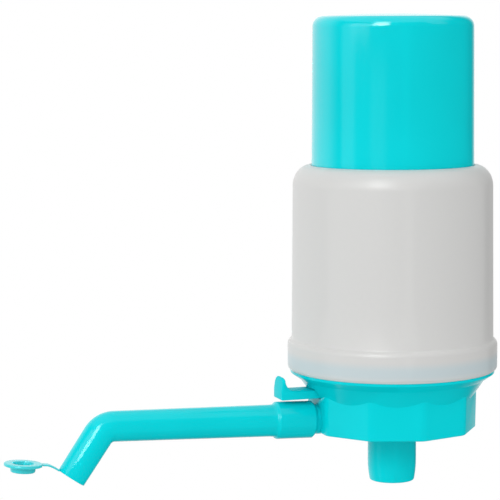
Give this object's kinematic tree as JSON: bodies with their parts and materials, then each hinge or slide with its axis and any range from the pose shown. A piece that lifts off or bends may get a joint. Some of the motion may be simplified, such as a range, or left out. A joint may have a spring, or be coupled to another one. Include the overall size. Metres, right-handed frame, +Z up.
{
  "type": "water jug hand pump",
  "caption": "Hand pump for a water jug: a push cap over a bellows in a round housing, a ten-sided neck collar, and a swivelling bent spout with a tethered stopper.",
  "frame": {"origin": "centre of the neck socket's mouth, on the pump's vertical axis, level with the collar's lower face", "axes": "+Z up along the pump's axis towards the push cap, the spout points along -X and rises by 1.5 degrees, +Y completes a right-handed frame"},
  "size_m": [0.2155, 0.09, 0.2006],
  "materials": {
    "push_cap": "smooth turquoise plastic, satin gloss",
    "base": "smooth turquoise plastic, satin gloss",
    "spout": "smooth turquoise plastic, satin gloss",
    "housing": "milky, slightly translucent plastic",
    "bellows": "soft milky plastic",
    "rubber": "soft dark grey rubber",
    "steel": "drawn steel wire"
  },
  "bodies": {
    "pump": {"housing": "housing", "base": "base", "bellows": "bellows", "bellows_clamp": "bellows", "bellows_seat": "bellows", "outlet_valve": "rubber", "water_duct": "base", "stem": "base", "stem_seal": "rubber", "neck_gasket": "rubber", "neck_grip_ring": "bellows", "vent_lever_pin": "steel", "vent_spring": "steel", "spout_seal": "rubber"},
    "cap": {"push_cap": "push_cap", "bellows_lid": "bellows", "inlet_valve": "rubber"},
    "lever": {"vent_lever": "base", "vent_plug": "rubber"},
    "spout": {"spout": "spout", "stopper_strap": "spout"},
    "stopper": {"spout_stopper": "spout"}
  },
  "joints": [
    {"name": "cap_press", "type": "slide", "parent": "pump", "child": "cap", "axis": [0, 0, -1], "range_m": [0, 0.055], "stiffness_N_per_m": 400, "springref_m": -0.006, "deforming": ["bellows"]},
    {"name": "vent_press", "type": "hinge", "parent": "pump", "child": "lever", "pos_m": [-0.03, 0, 0.0209], "axis": [0, -1, 0], "range_deg": [0, 3], "stiffness_Nm_per_rad": 0.3, "springref_deg": -2.29, "deforming": ["vent_spring"]},
    {"name": "spout_swivel", "type": "hinge", "parent": "pump", "child": "spout", "pos_m": [-0.04358, 0, 0.00504], "axis": [-0.9997, 0, 0.0262], "continuous": true},
    {"name": "stopper_hinge", "type": "hinge", "parent": "spout", "child": "stopper", "pos_m": [-0.15166, 0, -0.00746], "axis": [0, -1, 0], "range_deg": [0, 149.5], "stiffness_Nm_per_rad": 0.003, "deforming": ["stopper_strap"]}
  ]
}
